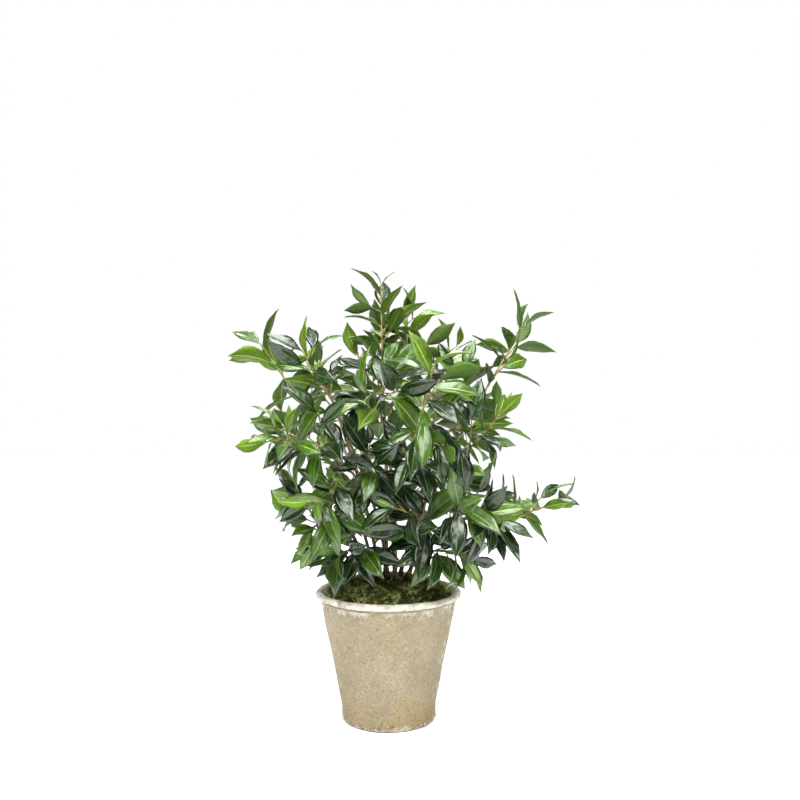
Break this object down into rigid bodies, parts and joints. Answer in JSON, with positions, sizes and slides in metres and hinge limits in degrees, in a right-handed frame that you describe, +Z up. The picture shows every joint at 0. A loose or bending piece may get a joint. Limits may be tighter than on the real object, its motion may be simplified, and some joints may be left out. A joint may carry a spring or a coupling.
{
  "type": "bushy bay topiary in a weathered clay pot",
  "caption": "Bushy many-stemmed bay shrub with glossy pointed leaves, rising from a moss cushion in a tapered weathered clay pot with a rounded rim.",
  "frame": {"origin": "centre of the pot's flat underside", "axes": "+Z up along the pot's axis, -Y towards the plant's front, +X to the right seen from the front"},
  "size_m": [0.5766, 0.5068, 0.7374],
  "materials": {
    "clay": "matte",
    "filling": "matte",
    "moss": "matte",
    "bark": "matte",
    "leaf": "satin"
  },
  "bodies": {
    "root": {"pot": "clay", "filling": "filling", "moss_cushion": "moss", "stem_leader": "bark", "stem_left": "bark", "stem_left_high": "bark", "stem_upper_left": "bark", "stem_left_low": "bark", "stem_front": "bark", "stem_right": "bark", "stem_right_low": "bark", "stem_front_low": "bark", "stem_rear_right": "bark", "stem_rear": "bark", "stem_rear_left": "bark", "stem_rear_low": "bark", "bough_left": "bark", "bough_left_high": "bark", "bough_centre_left": "bark", "bough_right_high": "bark", "bough_upper_right": "bark", "bough_right": "bark", "bough_right_low": "bark", "bough_right_skirt": "bark", "bough_top_right": "bark", "bough_rear_left": "bark", "leaves_top": "leaf", "leaves_top_right": "leaf", "leaves_top_left": "leaf", "leaves_high_left": "leaf", "leaves_centre_left": "leaf", "leaves_upper_left": "leaf", "leaves_left": "leaf", "leaves_left_inner": "leaf", "leaves_middle_left": "leaf", "leaves_left_skirt": "leaf", "leaves_middle": "leaf", "leaves_left_low": "leaf", "leaves_left_lowest": "leaf", "leaves_front_high": "leaf", "leaves_front_mid": "leaf", "leaves_front_low": "leaf", "leaves_front_low_right": "leaf", "leaves_right_low": "leaf", "leaves_right_under": "leaf", "leaves_right_skirt": "leaf", "leaves_front_skirt": "leaf", "leaves_right_mid": "leaf", "leaves_right": "leaf", "leaves_right_high": "leaf", "leaves_upper_right": "leaf", "leaves_rear_right_high": "leaf", "leaves_rear_right": "leaf", "leaves_rear_top": "leaf", "leaves_rear": "leaf", "leaves_rear_left_high": "leaf", "leaves_rear_left": "leaf", "leaves_rear_low_left": "leaf", "leaves_rear_low": "leaf", "leaves_rear_right_low": "leaf"}
  },
  "joints": []
}
